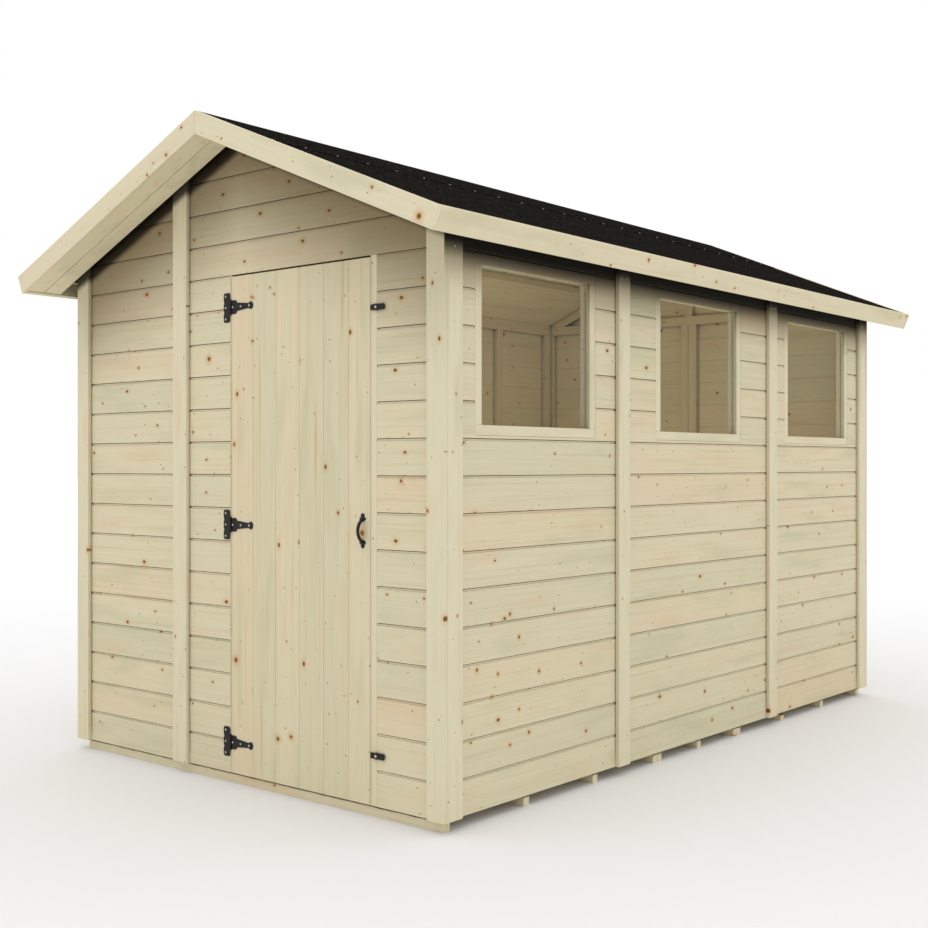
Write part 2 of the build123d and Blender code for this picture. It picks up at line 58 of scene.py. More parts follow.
# %% Camera
CAMERA_PLACE = (3.362, -4.339, 1.080)
CAMERA_TURN = math.radians(40)

bpy.ops.object.select_all(action="DESELECT")
bpy.ops.object.camera_add(location=CAMERA_PLACE, rotation=(math.radians(90), 0, CAMERA_TURN))
camera = bpy.context.object
camera.name = "camera"
camera.data.lens = 50
camera.data.sensor_width = 36
bpy.context.scene.camera = camera
print("camera", [round(part, 3) for part in camera.location])


# %% [markdown]
# ## Helpers for finishes
# Colours are written as the hex values that a screen shows, and Blender works in linear light,
# so one function turns them. Another adds a node with its settings and fills its inputs,
# which keeps a material readable as a list of steps.

# %% Colour and node helpers
def linear(hex_colour):
    """The linear colour of an sRGB hex value."""
    parts = [int(hex_colour[place:place + 2], 16) / 255 for place in (1, 3, 5)]
    return [part / 12.92 if part <= 0.04045 else ((part + 0.055) / 1.055) ** 2.4 for part in parts] + [1]


def new_finish(name, **settings):
    """A material with one Principled shader, and the sockets that are the same all over."""
    material = bpy.data.materials.new(name)
    material.use_nodes = True
    shader = material.node_tree.nodes["Principled BSDF"]
    for socket, value in settings.items():
        shader.inputs[socket.replace("_", " ")].default_value = value
    return material, shader


def step(material, kind, inputs=None, out=0, stops=(), **settings):
    """Adds a node and returns one of its outputs.

    An input takes a value, or a link where it is given another node's output. The stops of a
    colour ramp are (place, hex colour) pairs.
    """
    node = material.node_tree.nodes.new(kind)
    for setting, value in settings.items():
        setattr(node, setting, value)
    for socket, given in (inputs or {}).items():
        if isinstance(given, bpy.types.NodeSocket):
            material.node_tree.links.new(given, node.inputs[socket])
        else:
            node.inputs[socket].default_value = given
    if stops:
        elements = node.color_ramp.elements
        while len(elements) < len(stops):
            elements.new(0.5)
        for element, (place, colour) in zip(elements, stops):
            element.position = place
            element.color = linear(colour)
    return node.outputs[out]


def feed(material, source, shader, socket):
    """Links a result to the shader."""
    material.node_tree.links.new(source, shader.inputs[socket])


# %% [markdown]
# ## Studio light
# The shed is lit mostly from above, as by a large ceiling of soft boxes. A surround that is
# bright overhead and dimmer at the horizon does the same without a single lamp. The camera
# itself sees plain white, so the background stays clean whatever the light is.

# %% Studio light
bpy.context.scene.view_settings.view_transform = "Standard"
HORIZON_LIGHT = 0.56
OVERHEAD_LIGHT = 1.48

world = bpy.data.worlds.new("white studio")
bpy.context.scene.world = world
world.use_nodes = True
seen = world.node_tree.nodes["Background"]
seen.inputs["Color"].default_value = linear("#FFFFFF")
seen.inputs["Strength"].default_value = 1.0
direction = step(world, "ShaderNodeTexCoord", out="Generated")
height = step(world, "ShaderNodeSeparateXYZ", {0: direction}, out="Z")
strength = step(world, "ShaderNodeMapRange", {
    "Value": height, "From Min": 0, "From Max": 1, "To Min": HORIZON_LIGHT, "To Max": OVERHEAD_LIGHT,
})
softboxes = step(world, "ShaderNodeBackground", {"Strength": strength, "Color": linear("#FBFCFF")})
looked_at = step(world, "ShaderNodeLightPath", out="Is Camera Ray")
either = step(world, "ShaderNodeMixShader", {0: looked_at, 1: softboxes, 2: seen.outputs[0]})
feed(world, either, world.node_tree.nodes["World Output"], "Surface")
print("light from", HORIZON_LIGHT, "at the horizon to", OVERHEAD_LIGHT, "overhead")

# %% [markdown]
# ## Light inside
# Little of the studio's light reaches the inside. Two soft, warm lamps lift the gloom, so
# that the walls can be seen through the windows. They are hidden from the camera and from
# reflections, as they stand for light that the real room scatters.

# %% Lamps inside
INSIDE_LAMPS = (((-0.1, -0.5, 1.2), 4.5), ((0.1, 0.4, 1.2), 6))      # place and watts
LAMP_RADIUS = 0.25
LAMP_TINT = (1.0, 0.93, 0.80)

for place, watts in INSIDE_LAMPS:
    bpy.ops.object.select_all(action="DESELECT")
    bpy.ops.object.light_add(type="POINT", radius=LAMP_RADIUS, location=place)
    lamp = bpy.context.object
    lamp.name = "inside_lamp"
    lamp.data.energy = watts
    lamp.data.color = LAMP_TINT
    lamp.visible_camera = False
    lamp.visible_glossy = False
print(len(INSIDE_LAMPS), "lamps inside")

# %% [markdown]
# ## Studio floor
# The shed stands on a roll of white paper. It is painted a little grey by the shed, a painted
# shade, and runs out to full white far behind it, so no horizon shows. One wide plane with a
# round gradient gives that, and it has no gloss at all.

# %% Studio floor
FLOOR_SIZE = 160
PAINTED_SHADE_RADIUS = 3.5
WHITE_RADIUS = 16

bpy.ops.object.select_all(action="DESELECT")
bpy.ops.mesh.primitive_plane_add(size=FLOOR_SIZE, location=(0, 0, 0))
studio_floor = bpy.context.object
studio_floor.name = "studio_floor"
paper, paper_shader = new_finish("white studio paper", Roughness=0.9, Specular_IOR_Level=0.0)
place = step(paper, "ShaderNodeTexCoord", out="Object")
far = step(paper, "ShaderNodeVectorMath", {0: place}, out="Value", operation="LENGTH")
# painted shade: greyer near the shed, white far off
paper_shade_fade = step(paper, "ShaderNodeMapRange", {"Value": far, "From Min": PAINTED_SHADE_RADIUS, "From Max": WHITE_RADIUS})
white = step(paper, "ShaderNodeValToRGB", {"Fac": paper_shade_fade}, stops=[(0, "#EEEDEB"), (1, "#FFFFFF")])
feed(paper, white, paper_shader, "Base Color")
studio_floor.data.materials.append(paper)
print("studio floor", FLOOR_SIZE, "m wide")


# %% [markdown]
# ## The woodworker's bench
# The CAD mesh of a node holds all its timbers as loose triangles. A copy of it is merged and
# its flat faces are made whole, then it is parted into one blank for each timber. From there
# the work is what a joiner does: saw, rebate, ease the arrises.

# %% Take the blanks of a node
MERGE_DISTANCE = 0.02 * MM
FLAT_ANGLE = math.radians(0.5)


def only(piece):
    """Makes this piece the only one selected."""
    bpy.ops.object.select_all(action="DESELECT")
    piece.select_set(True)
    bpy.context.view_layer.objects.active = piece


def copy_of(piece):
    """A copy with its own mesh."""
    new = piece.copy()
    new.data = piece.data.copy()
    bpy.context.scene.collection.objects.link(new)
    return new


def corner(piece, high=False):
    """The lowest or highest corner of a piece."""
    pick = max if high else min
    return Vector(pick(vertex.co[axis] for vertex in piece.data.vertices) for axis in range(3))


def blanks(node):
    """One object for each timber of a CAD node."""
    blank = copy_of(nodes[node])
    blank.parent = None
    for key in list(blank.keys()):
        del blank[key]
    blank.data.materials.clear()
    only(blank)
    bpy.ops.mesh.customdata_custom_splitnormals_clear()
    bpy.ops.object.mode_set(mode="EDIT")
    bpy.ops.mesh.select_all(action="SELECT")
    bpy.ops.mesh.remove_doubles(threshold=MERGE_DISTANCE)
    bpy.ops.mesh.dissolve_limited(angle_limit=FLAT_ANGLE)
    bpy.ops.mesh.separate(type="LOOSE")
    bpy.ops.object.mode_set(mode="OBJECT")
    parted = list(bpy.context.selected_objects)
    return sorted(parted, key=lambda piece: tuple(round(part, 4) for part in corner(piece)))


# %% [markdown]
# ## Saw, rip and ease
# A bisect with its fill is a saw: it takes off what lies beyond a plane and closes the cut.
# Ripping a blank into boards is the same cut made on a fresh copy for each board. Real
# timber has no sharp edge, and a small bevel on each arris catches the light as a planed
# and sanded one does.

# %% Saw, rip and ease
SHARP_ANGLE = math.radians(30)


def saw(piece, point, normal):
    """Takes off what lies on the side that the normal points to, in edit mode."""
    bpy.ops.mesh.select_all(action="SELECT")
    bpy.ops.mesh.bisect(plane_co=point, plane_no=normal, use_fill=True, clear_outer=True)


def rip(blank, across, joints, gap=0):
    """Boards of a blank, parted at joints measured along the direction across."""
    boards = []
    across = Vector(across).normalized()
    spread = [vertex.co.dot(across) for vertex in blank.data.vertices]
    low, high = min(spread), max(spread)
    edges = [low] + [at for at in joints if low + MM < at < high - MM] + [high]
    for start, end in zip(edges, edges[1:]):
        board = copy_of(blank)
        only(board)
        bpy.ops.object.mode_set(mode="EDIT")
        if start > edges[0]:
            saw(board, across * (start + gap / 2), -across)
        if end < edges[-1]:
            saw(board, across * (end - gap / 2), across)
        bpy.ops.object.mode_set(mode="OBJECT")
        boards.append(board)
    bpy.data.objects.remove(blank)
    return boards


def ease(piece, arris):
    """Takes the sharp edges off, as a plane and sandpaper do."""
    only(piece)
    bevel = piece.modifiers.new("arris", "BEVEL")
    bevel.width = arris
    bevel.segments = 1
    bevel.limit_method = "ANGLE"
    bevel.angle_limit = SHARP_ANGLE
    bpy.ops.object.modifier_apply(modifier="arris")


# %% [markdown]
# ## Grain that belongs to its board
# Every board is cut from its own log, so the figure may not run on from one board to the
# next. Each board keeps two attributes: the place of every point along, across and through
# the board, shifted by an amount of its own, and the board's number. The materials read
# only these, so the grain follows a rafter's slope as it does a level board.

# %% Mark the grain
LOG_SHIFTS = ((3.17, 41), (1.73, 37), (0.37, 5))        # metres from board to board, and the most
board_count = 0


def mark_grain(piece, along=None):
    """Writes the grain's place on a board. It runs along the longest edge unless told."""
    global board_count
    board_count += 1
    mesh = piece.data
    if along is None:
        longest = max(mesh.edges, key=lambda edge: run_of(mesh, edge).length)
        along = run_of(mesh, longest)
    along = Vector(along).normalized()
    up = Vector((0, 0, 1)) if abs(along.z) < 0.9 else Vector((1, 0, 0))
    through = along.cross(up).normalized()
    across = through.cross(along)
    if reach(piece, across) < reach(piece, through):
        across, through = through, across
    middle = (corner(piece) + corner(piece, True)) / 2
    shift = Vector([board_count * pace % most for pace, most in LOG_SHIFTS])
    places = []
    for vertex in mesh.vertices:
        away = vertex.co - middle
        places.extend(shift + Vector((away.dot(along), away.dot(across), away.dot(through))))
    mesh.attributes.new("grain", "FLOAT_VECTOR", "POINT")
    mesh.attributes.new("board", "FLOAT", "POINT")
    mesh.attributes["grain"].data.foreach_set("vector", places)
    mesh.attributes["board"].data.foreach_set("value", [board_count] * len(mesh.vertices))


def reach(piece, direction):
    """How far a piece spreads along a direction."""
    along = [vertex.co.dot(direction) for vertex in piece.data.vertices]
    return max(along) - min(along)


def run_of(mesh, edge):
    """The run of an edge from its first end to its last."""
    first, last = edge.vertices
    return mesh.vertices[last].co - mesh.vertices[first].co


# %% [markdown]
# ## Put a node's boards together
# The boards of one CAD node become one object, which stands for the node and rides on the
# same body. It is joined last, so each board could still be worked by itself.

# %% Assemble
def assemble(name, pieces, finish, body, slot, *replaced):
    """Joins a node's boards into one object that rides on its body."""
    bpy.ops.object.select_all(action="DESELECT")
    for piece in pieces:
        piece.select_set(True)
    bpy.context.view_layer.objects.active = pieces[0]
    if len(pieces) > 1:
        bpy.ops.object.join()
    whole = bpy.context.object
    whole.name = name
    whole.data.name = name
    whole.data.materials.clear()
    whole.data.materials.append(finish)
    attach(whole, body)
    if replaced:
        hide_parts(*replaced)
    print(name, len(pieces), "pieces,", len(whole.data.polygons), "faces")
    return whole


# %% [markdown]
# ## Painting with patterns
# Wood is never one colour. Its finish is built up as a painter would do it: a ground colour,
# and thin stains laid over it where a pattern is strong. Three helpers give the pattern, the
# share of a stain and the stain itself. The Mix node's numbers 6, 7 and 2 are its two colours
# and the mixed colour, because it has sockets of the same names for plain numbers.

# %% Pattern helpers
def clouds(material, place, per_metre, detail):
    """Cloudy noise, with so many clouds a metre along each of the place's directions."""
    stretched = step(material, "ShaderNodeVectorMath", {0: place, 1: per_metre}, operation="MULTIPLY")
    settings = {"Vector": stretched, "Scale": 1.0, "Detail": detail, "Roughness": 0.6}
    return step(material, "ShaderNodeTexNoise", settings, out="Fac")


def share(material, value, start, end, most=1.0, within=None):
    """A soft share that grows from 0 at start to most at end, and only within a mask."""
    limits = {"Value": value, "From Min": start, "From Max": end, "To Min": 0, "To Max": most}
    grown = step(material, "ShaderNodeMapRange", limits, interpolation_type="SMOOTHSTEP")
    if within is None:
        return grown
    return step(material, "ShaderNodeMath", {0: grown, 1: within}, operation="MULTIPLY")


def stain(material, colour, tint, value, start, end, most=1.0, within=None):
    """Lays a tint over a colour by the share that a value gives."""
    laid = share(material, value, start, end, most, within)
    return step(material, "ShaderNodeMix", {0: laid, 6: colour, 7: linear(tint)}, out=2, data_type="RGBA")


# %% [markdown]
# ## Knots
# A knot is a branch cut through: a dark heart, a brown core and a soft orange halo, where the
# grain turns round it. Small ones fall by chance, so they are the cells of a Voronoi pattern
# in the board's own plane. The large ones that the eye finds are listed, as plain
# distances from a spot.

# %% Knots
KNOT_STRETCH = (0.7, 1, 0)      # a knot is longer along the board, and goes right through it
KNOT_SPACING = 115 * MM
KNOT_RADII = (2.0 * MM, 6.5 * MM)
PIN_KNOT_SPACING = 65 * MM
PIN_KNOT_RADII = (1.3 * MM, 2.6 * MM)
PIN_KNOT_SHARE = 0.45
HALO = (3.6, 0.6)               # in radii: where a knot's part starts, and where it is full
CORE = (1.2, 0.7)
HEART = (0.7, 0.3)


def chance_knots(wood, plane, spacing, radii, kept_share):
    """Distance to the nearest knot in radii of that knot, and a mask that keeps some knots."""
    pattern = {"Vector": plane, "Scale": 1 / spacing, "Randomness": 1.0}
    cells = step(wood, "ShaderNodeTexVoronoi", pattern, voronoi_dimensions="2D").node.outputs
    chances = step(wood, "ShaderNodeSeparateColor", {0: cells["Color"]}).node.outputs
    sizes = {"Value": chances[1], "To Min": radii[0] / spacing, "To Max": radii[1] / spacing}
    radius = step(wood, "ShaderNodeMapRange", sizes)
    nearness = step(wood, "ShaderNodeMath", {0: cells["Distance"], 1: radius}, operation="DIVIDE")
    kept = step(wood, "ShaderNodeMath", {0: chances[0], 1: kept_share}, operation="LESS_THAN")
    return nearness, kept


def planted_knots(wood, planted):
    """Distance to the nearest listed knot, in radii of that knot."""
    place = step(wood, "ShaderNodeTexCoord", out="Object")
    nearest = None
    for x, y, z, radius in planted:
        spot = (x * MM, y * MM, z * MM)
        away = step(wood, "ShaderNodeVectorMath", {0: place, 1: spot}, out="Value", operation="DISTANCE")
        away = step(wood, "ShaderNodeMath", {0: away, 1: radius * MM}, operation="DIVIDE")
        if nearest is not None:
            away = step(wood, "ShaderNodeMath", {0: nearest, 1: away}, operation="MINIMUM")
        nearest = away
    return nearest


# %% [markdown]
# ## Painted shade in the joints and under the roof
# The gaps between boards are painted nearly black, and the walls are painted darker, to brown
# and then black, under the overhangs. Soft studio light doesn't give that depth by itself, so
# this shade is painted into the finish. The joints are found by how much of the surroundings
# is closed in, and the shade under the roof by the distance below the slope of the roof boards.

# %% Painted shade
ROOF_PITCH = math.radians(22.8)
ROOF_THICKNESS = 17 * MM        # of felt and boards, square to the slope
ROOF_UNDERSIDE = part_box("barge_boards_right")[1].z - ROOF_THICKNESS / math.cos(ROOF_PITCH)
WALLS_MIDDLE = 8 * MM           # the walls' middle lies this far in front of the roof's
SIDE_FACE = 912 * MM            # middle of what counts as a wall's outer face, and its spread
GABLE_FACE = 1505 * MM
FACE_SPREAD = 14.5 * MM
GABLE_MARGIN = 9 * MM
# the rest set the painted shade: in the joints, and under the overhangs
SHADE_REACH = 60 * MM
GROUND_FADE = (30 * MM, 120 * MM)       # near the ground the joints keep their own colour
JOINT_SHADES = (("#6B5630", 0.62, 0.4, 0.35), ("#1C1509", 0.4, 0.22, 0.95))
WALL_EAVES = (185 * MM, 100 * MM)       # below the roof boards: where black starts, and is full
STRIP_EAVES = (150 * MM, 78 * MM)
BROWN_LEAD = 100 * MM                   # brown starts this much lower than black
GABLE_BROWN = (580 * MM, 60 * MM)
GABLE_BLACK = (100 * MM, 66 * MM)


def wall_faces(wood, outwards, face, along, end):
    """A mask of the outer faces of two opposite walls."""
    at_face = step(wood, "ShaderNodeMath", {0: outwards, 1: face, 2: FACE_SPREAD}, operation="COMPARE")
    inside = step(wood, "ShaderNodeMath", {0: along, 1: end}, operation="LESS_THAN")
    return step(wood, "ShaderNodeMath", {0: at_face, 1: inside}, operation="MULTIPLY")


def shaded(wood, colour, shade, eaves):
    """Paints shade: blackens the narrow joints, and deepens the outer walls towards the overhangs."""
    nearby = step(wood, "ShaderNodeAmbientOcclusion", {"Distance": SHADE_REACH}, out="AO", samples=4)
    place = step(wood, "ShaderNodeTexCoord", out="Object")
    x, y, z = step(wood, "ShaderNodeSeparateXYZ", {0: place}).node.outputs
    clear_of_ground = share(wood, z, *GROUND_FADE)
    # painted shade in the joints and recesses, by how closed in a point is
    for tint, start, end, most in JOINT_SHADES:
        colour = stain(wood, colour, tint, nearby, start, end, most * shade, clear_of_ground)

    # how far a point lies under the roof boards, and whether it is on an outer wall face
    from_middle = step(wood, "ShaderNodeMath", {0: x}, operation="ABSOLUTE")
    along_walls = step(wood, "ShaderNodeMath", {0: y, 1: WALLS_MIDDLE}, operation="ADD")
    from_centre = step(wood, "ShaderNodeMath", {0: along_walls}, operation="ABSOLUTE")
    slope = {0: from_middle, 1: -math.tan(ROOF_PITCH), 2: ROOF_UNDERSIDE}
    roof_height = step(wood, "ShaderNodeMath", slope, operation="MULTIPLY_ADD")
    under = step(wood, "ShaderNodeMath", {0: roof_height, 1: z}, operation="SUBTRACT")
    on_side = wall_faces(wood, from_middle, SIDE_FACE, from_centre, GABLE_FACE + GABLE_MARGIN)
    on_gable = wall_faces(wood, from_centre, GABLE_FACE, from_middle, SIDE_FACE + FACE_SPREAD)

    # painted shade under the overhangs: brown, then nearly black
    start, full = eaves
    brown_shade_side = share(wood, under, start + BROWN_LEAD, full, 0.65, on_side)
    brown_shade_gable = share(wood, under, *GABLE_BROWN, 0.72 * shade, on_gable)
    brown = step(wood, "ShaderNodeMath", {0: brown_shade_side, 1: brown_shade_gable}, operation="MAXIMUM")
    shade_deepened = {0: brown, 6: colour, 7: linear("#5E4512")}
    colour = step(wood, "ShaderNodeMix", shade_deepened, out=2, data_type="RGBA")
    colour = stain(wood, colour, "#0B0906", under, start, full, 0.97, on_side)
    return stain(wood, colour, "#0B0906", under, *GABLE_BLACK, 0.9, on_gable)


# %% [markdown]
# The front bearer is painted lighter than the walls, as painted light from the floor, and a
# thin, ragged painted shadow runs along it where the cladding ends above it. It is drawn by
# height, with clouds that make its edges uneven.

# %% Painted shadow along a bearer
SHADOW_LINE_LOW = (26.2 * MM, 29.2 * MM)       # heights where the line starts, and is full
SHADOW_LINE_HIGH = (36 * MM, 33 * MM)
SHADOW_LINE_CLOUDS = (30, 30, 30)
SHADOW_LINE_SWAY = 6 * MM


def painted_shadow_line(wood, colour):
    """A ragged painted shadow near the top of a bearer, under the cladding's edge."""
    place = step(wood, "ShaderNodeTexCoord", out="Object")
    height = step(wood, "ShaderNodeSeparateXYZ", {0: place}, out="Z")
    ragged = clouds(wood, place, SHADOW_LINE_CLOUDS, 3.0)
    sway = {0: ragged, 1: SHADOW_LINE_SWAY, 2: -SHADOW_LINE_SWAY / 2}
    uneven = step(wood, "ShaderNodeMath", sway, operation="MULTIPLY_ADD")
    edge = step(wood, "ShaderNodeMath", {0: height, 1: uneven}, operation="ADD")
    below_top = share(wood, edge, *SHADOW_LINE_HIGH)
    # a painted shadow where the cladding's bottom edge overhangs the bearer
    return stain(wood, colour, "#2E2413", edge, *SHADOW_LINE_LOW, 0.88, below_top)


# %% [markdown]
# ## Planed, pressure-treated softwood
# Spruce that has been planed and treated is pale cream, some boards a little green from the
# treatment, some a little pink. It shows faint long grain, small orange knots with a soft
# halo, tiny dark pin knots and a few orange resin streaks. It is nearly matt.

# %% Softwood finish
GRAIN_LINE = 9 * MM             # drawn wider than real growth rings, so that it shows
GRAIN_CLOUDS = (1.6, 1 / GRAIN_LINE, 1 / GRAIN_LINE)
BLOTCH_CLOUDS = (2.2, 11, 11)   # each about 450 mm long and 90 mm wide
RESIN_CLOUDS = (1.1, 30, 30)    # each about 900 mm long and 33 mm wide
KNOT_SWING = 14 * MM            # how far the grain gives way to a knot
RELIEF = 0.4 * MM


def softwood(
    name, tints, knot_share=0.5, streak=0.25, roughness=0.62, figure=1.0, shade=1.0,
    eaves=WALL_EAVES, foot=False, planted=(),
):
    """Planed softwood. tints are three hex colours that the boards vary between."""
    wood, shader = new_finish(name, Roughness=roughness, Specular_IOR_Level=0.1)
    grain = step(wood, "ShaderNodeAttribute", out="Vector", attribute_name="grain")
    board = step(wood, "ShaderNodeAttribute", out="Fac", attribute_name="board")
    chance = step(wood, "ShaderNodeTexWhiteNoise", {"W": board}, out="Value", noise_dimensions="1D")
    colour = step(wood, "ShaderNodeValToRGB", {"Fac": chance}, stops=list(zip((0, 0.5, 1), tints)))

    # knots, spaced in the board's own plane
    plane = step(wood, "ShaderNodeVectorMath", {0: grain, 1: KNOT_STRETCH}, operation="MULTIPLY")
    nearness, kept = chance_knots(wood, plane, KNOT_SPACING, KNOT_RADII, knot_share)
    pin_nearness, pins_kept = chance_knots(wood, plane, PIN_KNOT_SPACING, PIN_KNOT_RADII, PIN_KNOT_SHARE)

    # long growth lines that swing round the knots
    swing = share(wood, nearness, *HALO, KNOT_SWING, kept)
    shifted = step(wood, "ShaderNodeCombineXYZ", {"Y": swing})
    bent = step(wood, "ShaderNodeVectorMath", {0: grain, 1: shifted}, operation="ADD")
    lines = clouds(wood, bent, GRAIN_CLOUDS, 3.0)
    colour = stain(wood, colour, "#BFAA78", lines, 0.5, 0.76, 0.3 * figure)
    colour = stain(wood, colour, "#E8E0C4", lines, 0.47, 0.26, 0.25 * figure)

    # broad, faint blotches left by the treatment, and long, thin resin streaks
    blotch = clouds(wood, grain, BLOTCH_CLOUDS, 2.0)
    colour = stain(wood, colour, "#C2BF98", blotch, 0.5, 0.75, 0.4)
    colour = stain(wood, colour, "#DDBF9A", blotch, 0.45, 0.25, 0.35)
    resin = clouds(wood, bent, RESIN_CLOUDS, 1.0)
    colour = stain(wood, colour, "#CF9A66", resin, 0.66, 0.82, streak)

    # the knots themselves on top
    colour = stain(wood, colour, "#D39C5C", nearness, *HALO, 0.36, kept)
    colour = stain(wood, colour, "#916322", nearness, *CORE, 0.9, kept)
    colour = stain(wood, colour, "#4E2C12", nearness, *HEART, 0.7, kept)
    colour = stain(wood, colour, "#857048", pin_nearness, *CORE, 0.9, pins_kept)
    if planted:
        nearest = planted_knots(wood, planted)
        colour = stain(wood, colour, "#D39C5C", nearest, 3.2, 0.8, 0.45)
        colour = stain(wood, colour, "#96602A", nearest, 1.2, 0.6, 0.9)
        colour = stain(wood, colour, "#4E2C12", nearest, 0.6, 0.2, 0.7)

    colour = shaded(wood, colour, shade, eaves)
    if foot:
        colour = painted_shadow_line(wood, colour)
    feed(wood, colour, shader, "Base Color")
    relief = step(wood, "ShaderNodeBump", {"Height": lines, "Strength": 0.12, "Distance": RELIEF})
    feed(wood, relief, shader, "Normal")
    return wood


# %% [markdown]
# Most knots fall where chance puts them. A few large ones are listed where the
# photograph shows them: x, y and z of the middle and the radius, all in millimetres.

# %% Knots listed one by one
FRONT, DOOR, SIDE, BARGE, FASCIA = -1507, -1507, 908, -1695, 1055
front_knots = [(-159, FRONT, 1441, 9), (740, FRONT, 1029, 6), (-246, FRONT, 1191, 5)]
door_knots = [
    (-17, DOOR, 420, 10), (193, DOOR, 183, 8), (256, DOOR, 198, 7), (472, DOOR, 927, 6),
    (577, DOOR, 868, 9), (62, DOOR, 1636, 5), (73, DOOR, 1633, 4), (154, DOOR, 1659, 4),
    (174, DOOR, 1636, 4), (67, DOOR, 1489, 5),
]
side_knots = [
    (SIDE, -1193, 616, 6), (SIDE, -962, 612, 5), (SIDE, -1282, 593, 5), (SIDE, -1147, 540, 6),
    (SIDE, -1354, 462, 6), (SIDE, -1253, 438, 5), (SIDE, -1043, 421, 6), (SIDE, -810, 419, 5),
    (SIDE, -1282, 372, 5), (SIDE, -1147, 315, 5), (SIDE, -1096, 235, 6), (SIDE, -1193, 211, 5),
    (SIDE, -781, 189, 6),
]
trim_knots = [
    (858, -1523, 943, 6), (924, -630, 102, 6), (-149, BARGE, 2107, 6), (-253, BARGE, 2055, 5),
    (981, BARGE, 1764, 10), (801, BARGE, 1869, 5), (FASCIA, -1424, 1749, 5), (FASCIA, -1133, 1749, 6),
    (FASCIA, -835, 1746, 5), (FASCIA, -507, 1752, 6), (FASCIA, -303, 1754, 6), (FASCIA, 353, 1758, 7),
    (FASCIA, 1599, 1763, 8),
]
print(len(front_knots + door_knots + side_knots + trim_knots), "knots put in by hand")

# %% [markdown]
# ## The shed's softwoods
# All the timber is the same spruce, but the eye tells its uses apart. The door's boards have
# more resin, the narrow strips and window frames were picked with fewer knots, the battens
# are sawn and so a little rougher, and the bearers are painted paler, as painted light from
# the floor.

# %% Softwood finishes
cladding_tints = ("#D7D0AF", "#DFD5B3", "#E0D0AE")
door_tints = ("#D8D0AE", "#DFD5B3", "#E2CDAB")
trim_tints = ("#DFD8B8", "#E2D9B9", "#E1D4B3")
cladding_wood = softwood("planed treated spruce boards", cladding_tints)
front_wood = softwood(
    "planed treated spruce front boards", cladding_tints, knot_share=0.6, planted=front_knots
)
side_wood = softwood(
    "planed treated spruce side boards", cladding_tints, knot_share=0.36, planted=side_knots
)
door_wood = softwood(
    "planed treated spruce door boards", door_tints, knot_share=0.22, streak=0.55, shade=0.4,
    planted=door_knots,
)
trim_wood = softwood(
    "planed treated spruce strips", trim_tints, knot_share=0.3, figure=0.6, shade=0.3,
    eaves=STRIP_EAVES, planted=trim_knots,
)
window_wood = softwood(
    "planed treated spruce window frames", trim_tints, knot_share=0.0, figure=0.6, shade=0.5
)
framing_wood = softwood("sawn treated spruce battens", ("#D2C8A6", "#D6CAA8", "#D2C39F"), roughness=0.75)
# the bearers' paler tints are painted light from the floor
bearer_wood = softwood("treated spruce bearers", ("#E6DCBA", "#E9DEBC", "#E6D8B4"), foot=True)
floor_wood = softwood("planed floor boards", ("#D5CBAA", "#D8CDAB", "#D6C8A4"))
print("softwood finishes made")

# %% [markdown]
# ## Cladding
# The walls are boards 112 mm apart with a rebated channel at each joint: the lower board's
# tongue lies a few millimetres behind the faces, so every course ends in a shadow line. The
# wall's blank is ripped at the courses, and on each board the strip above the channel line
# is pushed back and the lower arris is taken off.

# %% Rebate one cladding board
DOORWAY_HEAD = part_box("front_over_door")[0].z
FIRST_COURSE = 36.5 * MM
COURSES_TO_DOORWAY_HEAD = 15
COURSES = 20
COURSE = (DOORWAY_HEAD - FIRST_COURSE) / COURSES_TO_DOORWAY_HEAD
CHANNEL_HEIGHT = 7 * MM
CHANNEL_DEPTH = 3.2 * MM
SLOT_HEIGHT = 1.9 * MM          # where the next board's tongue joint leaves a deep, narrow gap
SLOT_DEPTH = 9.5 * MM
BOARD_ARRIS = 1.2 * MM
INSIDE_ARRIS = 1.8 * MM         # the V at each joint on the inside
NEAR = 0.1 * MM                 # how close to a line a point counts as on it
EDGE_BAND = 0.6 * MM            # how close to a board's edge a point counts as on the edge
course_lines = [FIRST_COURSE + COURSE * number for number in range(1, COURSES)]


def push_in(piece, out, face, low, high, depth):
    """Moves the outer points between two heights back from the face, in edit mode."""
    bpy.ops.mesh.select_all(action="DESELECT")
    bpy.ops.object.mode_set(mode="OBJECT")
    chosen = 0
    for vertex in piece.data.vertices:
        picked = vertex.co.dot(out) > face - 2 * NEAR and low <= vertex.co.z <= high
        vertex.select = picked
        chosen += picked
    bpy.ops.object.mode_set(mode="EDIT")
    if chosen:
        bpy.ops.transform.translate(value=-out * depth)


def rebate(board, out, bottom):
    """Cuts the channel along the top of a board whose course starts at bottom."""
    out = Vector(out)
    face = max(vertex.co.dot(out) for vertex in board.data.vertices)
    low, high = corner(board).z, corner(board, True).z
    top = bottom + COURSE
    channel = top - CHANNEL_HEIGHT
    slot = top - SLOT_HEIGHT
    only(board)
    bpy.ops.object.mode_set(mode="EDIT")
    bpy.ops.mesh.select_mode(type="VERT")
    for height in (bottom + BOARD_ARRIS, channel - BOARD_ARRIS, channel, slot):
        if low + NEAR < height < high - NEAR:
            bpy.ops.mesh.select_all(action="SELECT")
            bpy.ops.mesh.bisect(plane_co=(0, 0, height), plane_no=(0, 0, 1))
    push_in(board, out, face, channel - NEAR, slot + NEAR, CHANNEL_DEPTH)
    push_in(board, out, face, slot + NEAR, top + MM, SLOT_DEPTH)
    push_in(board, out, face, bottom - MM, bottom + EDGE_BAND, BOARD_ARRIS)
    inside = max(-vertex.co.dot(out) for vertex in board.data.vertices)
    push_in(board, -out, inside, bottom - MM, bottom + EDGE_BAND, INSIDE_ARRIS)
    push_in(board, -out, inside, top - EDGE_BAND, top + MM, INSIDE_ARRIS)
    bpy.ops.object.mode_set(mode="OBJECT")


# %% [markdown]
# A wall may be in pieces, such as the piers between the windows. Each piece is ripped at the
# same course lines, so the joints run through round the whole shed.

